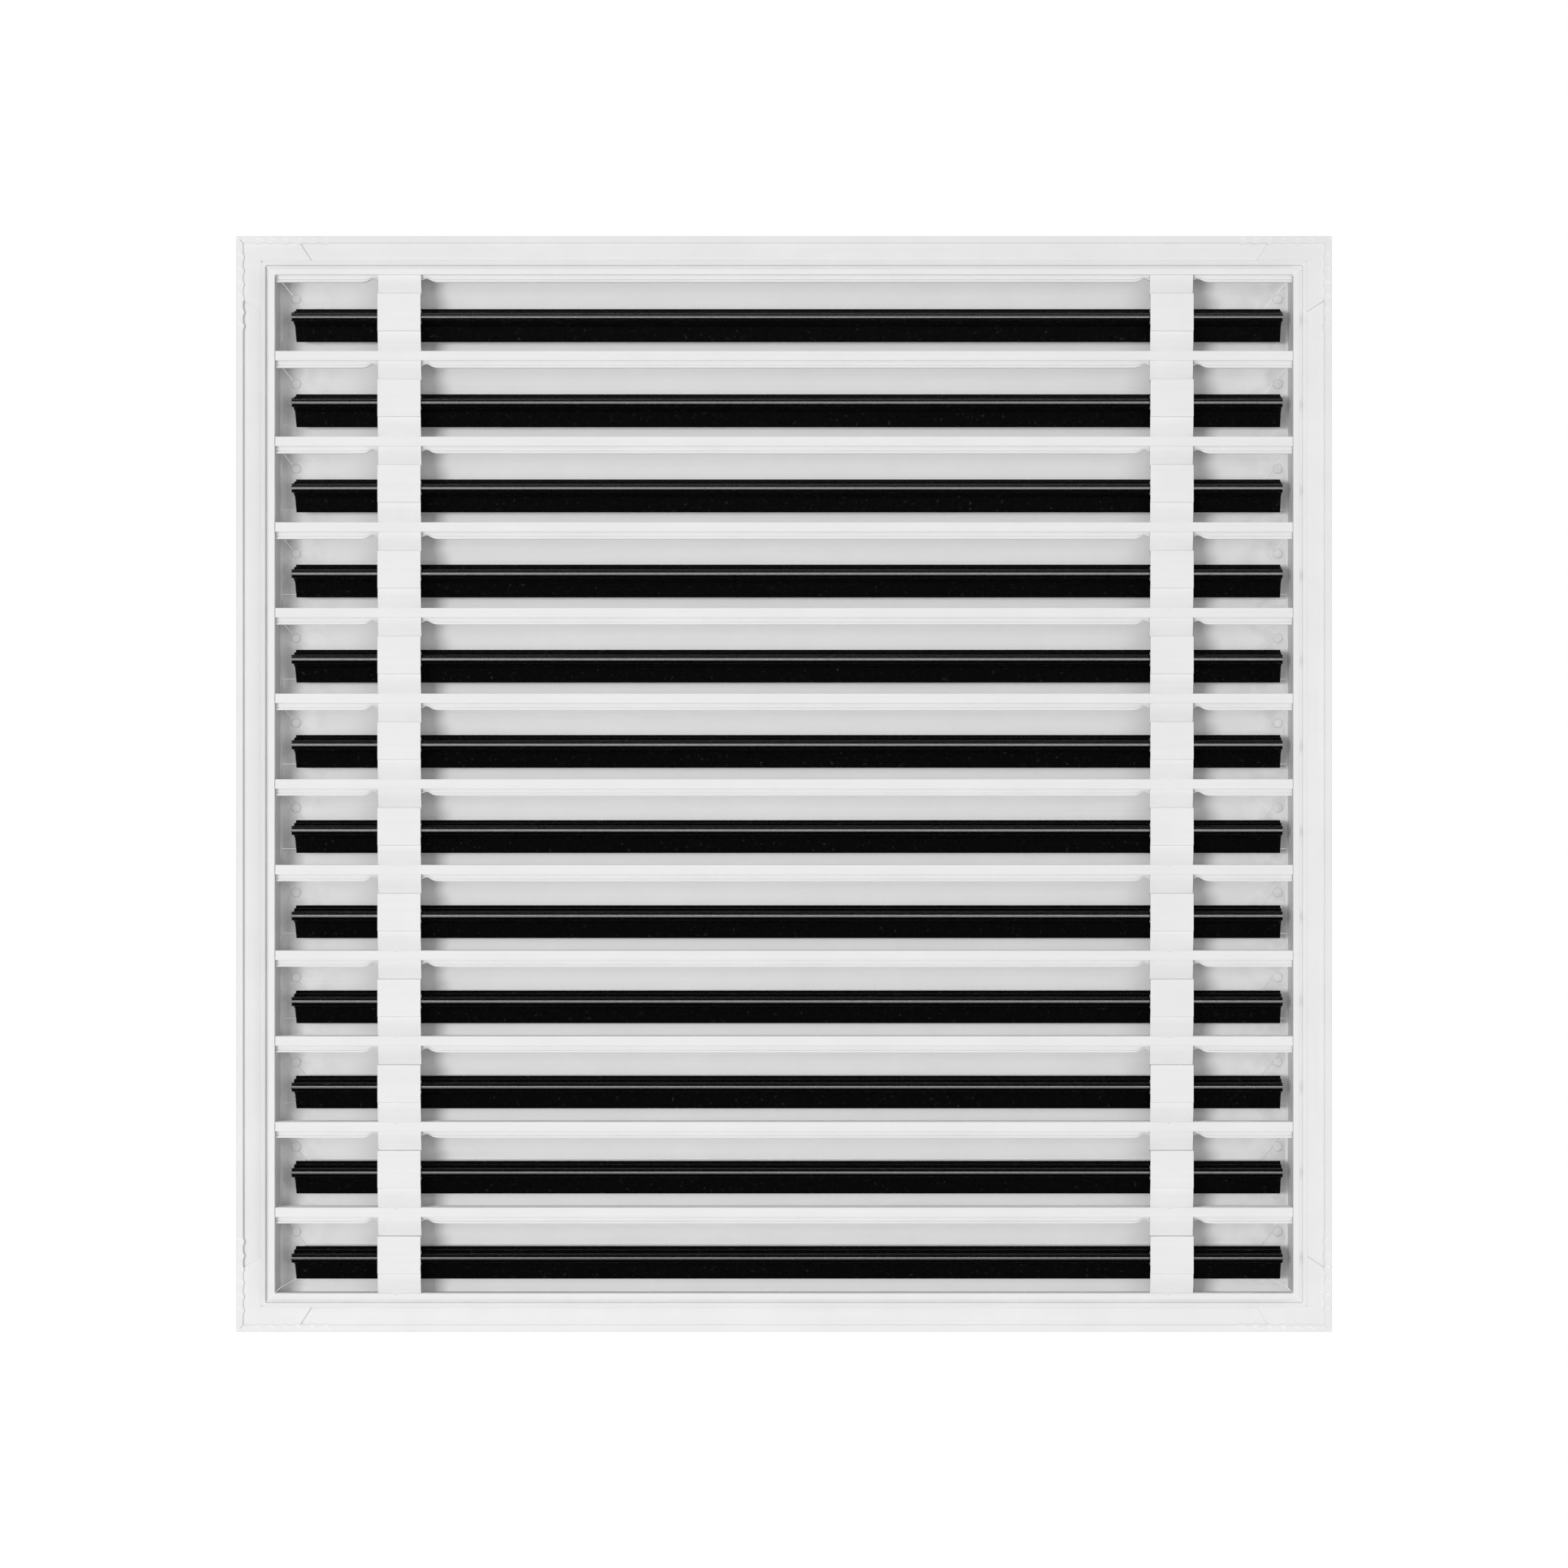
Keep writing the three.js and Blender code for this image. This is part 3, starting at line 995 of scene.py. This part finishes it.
@dataclass
class Scatter:
    """Sets copies of one small shape on marked points, by a Geometry Nodes tree."""

    name: str
    finish: Finish
    sizes: dict[str, float]

    def shape(self, tree: Tree, sizes: dict[str, bpy.types.NodeSocket]) -> bpy.types.NodeSocket:
        """Makes the shape that is repeated, standing on the origin and pointing along +Z.

        Args:
            tree: the Geometry Nodes tree.
            sizes: the tree's inputs by name.

        Returns:
            The shape's geometry output.
        """
        raise NotImplementedError

    def tree(self) -> bpy.types.NodeTree:
        """Builds the tree, with its sizes as named inputs.

        Returns:
            The finished tree.
        """
        group = bpy.data.node_groups.new(f"{self.name}_layout", "GeometryNodeTree")
        face = group.interface
        face.new_socket("Geometry", in_out="INPUT", socket_type="NodeSocketGeometry")
        for label in self.sizes:
            face.new_socket(label, in_out="INPUT", socket_type="NodeSocketFloat")
        face.new_socket("Geometry", in_out="OUTPUT", socket_type="NodeSocketGeometry")
        tree = Tree(group)
        given = tree.add("NodeGroupInput").outputs
        one = self.shape(tree, {label: given[label] for label in self.sizes})
        turn = tree.add("GeometryNodeInputNamedAttribute", {"Name": "turn"}, data_type="FLOAT_VECTOR")
        rotation = tree.add("FunctionNodeEulerToRotation", {0: turn.outputs["Attribute"]})
        placed = tree.add(
            "GeometryNodeInstanceOnPoints",
            {"Points": given["Geometry"], "Instance": one, "Rotation": rotation.outputs[0]},
        )
        real = tree.add("GeometryNodeRealizeInstances", {0: placed.outputs[0]})
        smooth = tree.add("GeometryNodeSetShadeSmooth", {0: real.outputs[0], "Shade Smooth": True})
        coated = tree.add(
            "GeometryNodeSetMaterial", {0: smooth.outputs[0], "Material": self.finish.material()}
        )
        tree.add("NodeGroupOutput", {0: coated.outputs[0]})
        return group

    def build(self, places: Iterable[tuple[Vector, Vector]]) -> bpy.types.Object:
        """Sets the shape out on the frame.

        Args:
            places: each copy's point and its turn as XYZ angles in radians.

        Returns:
            One piece with all the copies.
        """
        spots = list(places)
        mesh = bpy.data.meshes.new(self.name)
        mesh.from_pydata([spot for spot, _ in spots], [], [])
        turn = mesh.attributes.new("turn", "FLOAT_VECTOR", "POINT")
        for i, (_, angles) in enumerate(spots):
            turn.data[i].vector = angles
        piece = new_piece(self.name, mesh)
        modifier = piece.modifiers.new("layout", "NODES")
        modifier.node_group = self.tree()
        for item in modifier.node_group.interface.items_tree:
            if item.name in self.sizes:
                modifier[item.identifier] = self.sizes[item.name]
        settle(piece)
        enrol(piece, FRAME_BODY, self.finish)
        return piece


class Rivets(Scatter):
    """Flush rivets: a low head with a faint crown."""

    def shape(self, tree: Tree, sizes: dict[str, bpy.types.NodeSocket]) -> bpy.types.NodeSocket:
        """Makes one rivet head.

        Args:
            tree: the Geometry Nodes tree.
            sizes: the inputs Radius, Height, Crown and Edge.

        Returns:
            The head's geometry output.
        """
        disc = tree.add(
            "GeometryNodeMeshCylinder",
            {
                "Vertices": 24,
                "Fill Segments": 8,
                "Radius": sizes["Radius"],
                "Depth": tree.math("MULTIPLY", sizes["Height"], 2.0),
            },
        ).outputs["Mesh"]
        place = tree.add("GeometryNodeInputPosition").outputs[0]
        flat = tree.add("ShaderNodeVectorMath", {0: place, 1: (1.0, 1.0, 0.0)}, operation="MULTIPLY")
        reach = tree.add("ShaderNodeVectorMath", {0: flat.outputs[0]}, operation="LENGTH")
        share = tree.math("DIVIDE", reach.outputs["Value"], sizes["Radius"])
        fall = tree.math("SUBTRACT", 1.0, tree.math("POWER", share, sizes["Edge"]))
        lift = tree.add("ShaderNodeCombineXYZ", {"Z": tree.math("MULTIPLY", fall, sizes["Crown"])})
        height = tree.add("ShaderNodeSeparateXYZ", {0: place}).outputs["Z"]
        top = tree.math("GREATER_THAN", height, 0.0)
        domed = tree.add(
            "GeometryNodeSetPosition", {0: disc, "Selection": top, "Offset": lift.outputs[0]}
        )
        return domed.outputs[0]


class Screws(Rivets):
    """Pan-head screws: a crowned head with a cross recess, sized by shares of width and height."""

    arm_length: float = 4.2
    recess_height: float = 1.6
    recess_middle: float = 1.5

    def shape(self, tree: Tree, sizes: dict[str, bpy.types.NodeSocket]) -> bpy.types.NodeSocket:
        """Makes one screw head.

        Args:
            tree: the Geometry Nodes tree.
            sizes: the inputs Radius, Height, Crown, Edge and Recess.

        Returns:
            The head's geometry output.
        """
        head = super().shape(tree, sizes)
        long = tree.math("MULTIPLY", sizes["Recess"], self.arm_length)
        deep = tree.math("MULTIPLY", sizes["Height"], self.recess_height)
        middle = tree.math("MULTIPLY", sizes["Height"], self.recess_middle)
        top = tree.add("ShaderNodeCombineXYZ", {"Z": middle})
        arms = []
        for across, along in ((long, sizes["Recess"]), (sizes["Recess"], long)):
            size = tree.add("ShaderNodeCombineXYZ", {"X": across, "Y": along, "Z": deep})
            arm = tree.add("GeometryNodeMeshCube", {"Size": size.outputs[0]})
            raised = tree.add(
                "GeometryNodeTransform", {0: arm.outputs["Mesh"], "Translation": top.outputs[0]}
            )
            arms.append(raised.outputs[0])
        cut = tree.add("GeometryNodeMeshBoolean", {0: head}, operation="DIFFERENCE")
        for arm in arms:
            tree.tree.links.new(arm, cut.inputs["Mesh 2"])
        return cut.outputs["Mesh"]


class Burrs(Scatter):
    """Crescents of metal raised by a punch, thick in the middle and thin at the tips."""

    tip: float = 0.15

    def shape(self, tree: Tree, sizes: dict[str, bpy.types.NodeSocket]) -> bpy.types.NodeSocket:
        """Makes one crescent.

        Args:
            tree: the Geometry Nodes tree.
            sizes: the inputs Sweep, Bow and Thickness.

        Returns:
            The crescent's geometry output.
        """
        arc = tree.add(
            "GeometryNodeCurveArc",
            {"Resolution": 9, "Radius": sizes["Bow"], "Sweep Angle": sizes["Sweep"]},
            mode="RADIUS",
        ).outputs["Curve"]
        along = tree.add("GeometryNodeSplineParameter").outputs["Factor"]
        swell = tree.math("SINE", tree.math("MULTIPLY", along, math.pi))
        radius = tree.math("ADD", tree.math("MULTIPLY", swell, 1.0 - self.tip), self.tip)
        tapered = tree.add("GeometryNodeSetCurveRadius", {0: arc, "Radius": radius}).outputs[0]
        ring = tree.add(
            "GeometryNodeCurvePrimitiveCircle", {"Resolution": 8, "Radius": sizes["Thickness"]}
        ).outputs[0]
        swept = tree.add(
            "GeometryNodeCurveToMesh",
            {"Curve": tapered, "Profile Curve": ring, "Fill Caps": True},
        )
        for socket in swept.inputs:
            if socket.name == "Scale":
                tree.tree.links.new(radius, socket)
        return swept.outputs[0]


@dataclass
class Fasteners:
    """Where the rivets, screws and punched burrs go."""

    assembly: Assembly
    rivet_in: tuple[float, float] = (9.5 * MM, 6.0 * MM)
    rivet_down: float = 11.4 * MM
    plate_back: float = 2.8 * MM
    port_y: float = -10.6 * MM
    burr_bow: float = 2.1 * MM
    burr_sunk: float = 0.02 * MM
    burr_offset: tuple[float, float] = (0.2, 0.5)

    def rivets(self) -> bpy.types.Object:
        """Sets a flush rivet in both upper corners of every slot.

        Returns:
            The rivets.
        """
        kind = Rivets(
            "corner_rivets",
            PowderCoat(Draw.ACROSS),
            {"Radius": 3.0 * MM, "Height": 0.35 * MM, "Crown": 0.5 * MM, "Edge": 6.0},
        )
        inner = self.assembly.slot_tops[0]
        turn = Vector((math.pi / 2, 0, 0))
        places = [
            (Vector((side * (inner - inwards), self.plate_back, top - self.rivet_down)), turn)
            for top in self.assembly.slot_tops
            for side, inwards in zip((-1, 1), self.rivet_in)
        ]
        return kind.build(places)

    def screws(self) -> bpy.types.Object:
        """Sets a screw through the neck into each end of every T-bar.

        Returns:
            The screws.
        """
        kind = Screws(
            "t_bar_screws",
            PowderCoat(Draw.ACROSS),
            {
                "Radius": 3.1 * MM,
                "Height": 1.1 * MM,
                "Crown": 0.9 * MM,
                "Edge": 2.0,
                "Recess": 0.75 * MM,
            },
        )
        neck = neck_side()
        places = [
            (Vector((side * neck, self.port_y, middle)), Vector((0, side * math.pi / 2, 0)))
            for middle in self.assembly.bar_middles()
            for side in (-1, 1)
        ]
        return kind.build(places)

    def burrs(self, stakes: Stakes, half: float) -> bpy.types.Object:
        """Raises a burr at every stake mark on the flange's outer lip.

        Args:
            stakes: the stakes along the rails.
            half: half the flange's width.

        Returns:
            The burrs.
        """
        # The burrs' coat is lighter than the white around them, which is a painted glint. Its lower
        # roughness gives real glints as well.
        kind = Burrs(
            "key_stake_burrs",
            PowderCoat(Draw.ACROSS, shade=0.96, roughness=(0.2, 0.3)),
            {"Sweep": math.radians(125), "Bow": self.burr_bow, "Thickness": 0.5 * MM},
        )
        aside, down = (share * self.burr_bow for share in self.burr_offset)
        flat = Vector((math.pi / 2, 0, 0))
        places = []
        for mark in stakes.marks(half):
            for side in (-1, 1):
                lip = side * (half - stakes.lip / 2)
                places.append((Vector((mark, -self.burr_sunk, lip - down)), flat))
                places.append((Vector((lip - aside, -self.burr_sunk, mark)), flat))
        return kind.build(places)


def neck_side() -> float:
    """Returns how far the neck's outer side stands from the middle."""
    mounts = {mount["name"]: mount for mount in frame["record"]["mounts"]}
    return mounts["neck_right"]["pos_m"][0]


# ---------------------------------------------------------------------------------------------
# Studio
# ---------------------------------------------------------------------------------------------


@dataclass
class Lamp:
    """A soft flat lamp that looks at the middle of the part."""

    name: str
    place: tuple[float, float, float]
    width: float
    height: float
    watts: float

    def build(self) -> bpy.types.Object:
        """Hangs the lamp.

        Returns:
            The lamp.
        """
        data = bpy.data.lights.new(self.name, "AREA")
        data.shape = "RECTANGLE"
        data.size = self.width
        data.size_y = self.height
        data.energy = self.watts
        lamp = bpy.data.objects.new(self.name, data)
        lamp.location = self.place
        lamp.rotation_euler = (-Vector(self.place)).to_track_quat("-Z", "Y").to_euler()
        bpy.context.scene.collection.objects.link(lamp)
        return lamp


@dataclass
class Studio:
    """White surroundings, soft lamps, a pale floor and the camera."""

    distance: float = 3.0
    view_width: float = 0.936
    sensor: float = 36.0
    floor_middle: tuple[float, float, float] = (0.0, -0.4, -0.62)
    floor_size: float = 2.3
    ambient: float = 0.36
    mirrored: float = 0.03
    key: Lamp = field(default_factory=lambda: Lamp("key", (-1.95, -5.4, 0.12), 1.6, 0.8, 146.0))
    sheen: Lamp = field(default_factory=lambda: Lamp("sheen", (-0.3, -4.6, 0.1), 5.0, 0.7, 1700.0))
    fills: tuple[Lamp, ...] = (
        Lamp("fill", (0.9, -4.6, 0.15), 3.0, 2.2, 52.0),
        Lamp("room_side", (0.9, 2.6, 0.9), 1.4, 1.4, 54.0),
    )

    def build(self, spared: Sequence[bpy.types.Object], glossy: Sequence[bpy.types.Object]) -> None:
        """Sets up the whole studio.

        Args:
            spared: the pieces that the key lamp shines past without a shadow.
            glossy: the pieces that the sheen lamp lights; it lights nothing else.
        """
        self.surroundings()
        past = bpy.data.collections.new("key_shines_past")
        for piece in spared:
            past.objects.link(piece)
        for item in past.collection_objects:
            item.light_linking.link_state = "EXCLUDE"
        self.key.build().light_linking.blocker_collection = past
        shone = bpy.data.collections.new("sheen_lights")
        for piece in glossy:
            shone.objects.link(piece)
        sheen = self.sheen.build()
        sheen.visible_diffuse = False
        sheen.light_linking.receiver_collection = shone
        for lamp in self.fills:
            lamp.build()
        self.floor()
        self.camera()
        bpy.context.scene.view_settings.view_transform = "Standard"

    def surroundings(self) -> None:
        """Makes the surroundings white to look at and softer as a light."""
        world = bpy.data.worlds.new("studio_white")
        world.use_nodes = True
        tree = Tree(world.node_tree)
        tree.tree.nodes.clear()
        ray = tree.add("ShaderNodeLightPath").outputs
        seen = tree.ramp(ray["Is Camera Ray"], self.ambient, 1.0)
        glossy = tree.ramp(ray["Is Glossy Ray"], 1.0, self.mirrored)
        strength = tree.math("MULTIPLY", seen, glossy)
        white = (1.0, 1.0, 1.0, 1.0)
        glow = tree.add("ShaderNodeBackground", {"Color": white, "Strength": strength})
        tree.add("ShaderNodeOutputWorld", {"Surface": glow.outputs[0]})
        bpy.context.scene.world = world

    def floor(self) -> None:
        """Lays the pale floor well below the part, which hangs by its neck."""
        work = bmesh.new()
        bmesh.ops.create_grid(work, x_segments=1, y_segments=1, size=self.floor_size / 2)
        bmesh.ops.translate(work, verts=work.verts, vec=self.floor_middle)
        mesh = bpy.data.meshes.new("floor")
        work.to_mesh(mesh)
        work.free()
        floor = new_piece("floor", mesh)
        mesh.materials.append(StudioFloor().material())
        floor.visible_glossy = False

    def camera(self) -> None:
        """Stands the camera square on to the back of the part."""
        data = bpy.data.cameras.new("camera")
        data.sensor_width = self.sensor
        data.lens = self.sensor * self.distance / self.view_width
        camera = bpy.data.objects.new("camera", data)
        camera.location = (0, -self.distance, 0)
        camera.rotation_euler = (math.pi / 2, 0, 0)
        bpy.context.scene.collection.objects.link(camera)
        bpy.context.scene.camera = camera


def report(pieces: Iterable[bpy.types.Object]) -> None:
    """Logs each piece with its number of faces.

    Args:
        pieces: finished pieces.
    """
    for piece in pieces:
        LOG.info("%s: %d faces", piece.name, len(piece.data.polygons))


def main() -> None:
    """Builds every sub-assembly in order."""
    logging.basicConfig(level=logging.INFO, format="%(name)s %(message)s")
    assembly = Assembly()
    rails = Rails(assembly)
    sides = rails.build()
    blades = Blades().build()
    bars = TBars(assembly).build()
    fasteners = Fasteners(assembly)
    screws = fasteners.screws()
    top, bottom, _, right = sides
    Studio().build([top, bottom, right, screws, *bars], blades)
    report(sides + blades + bars)
    report(CornerKeys().build())
    report(Bridges(assembly).build())
    report([fasteners.rivets(), screws, fasteners.burrs(rails.stakes, rails.half)])


if __name__ == "__main__":
    main()
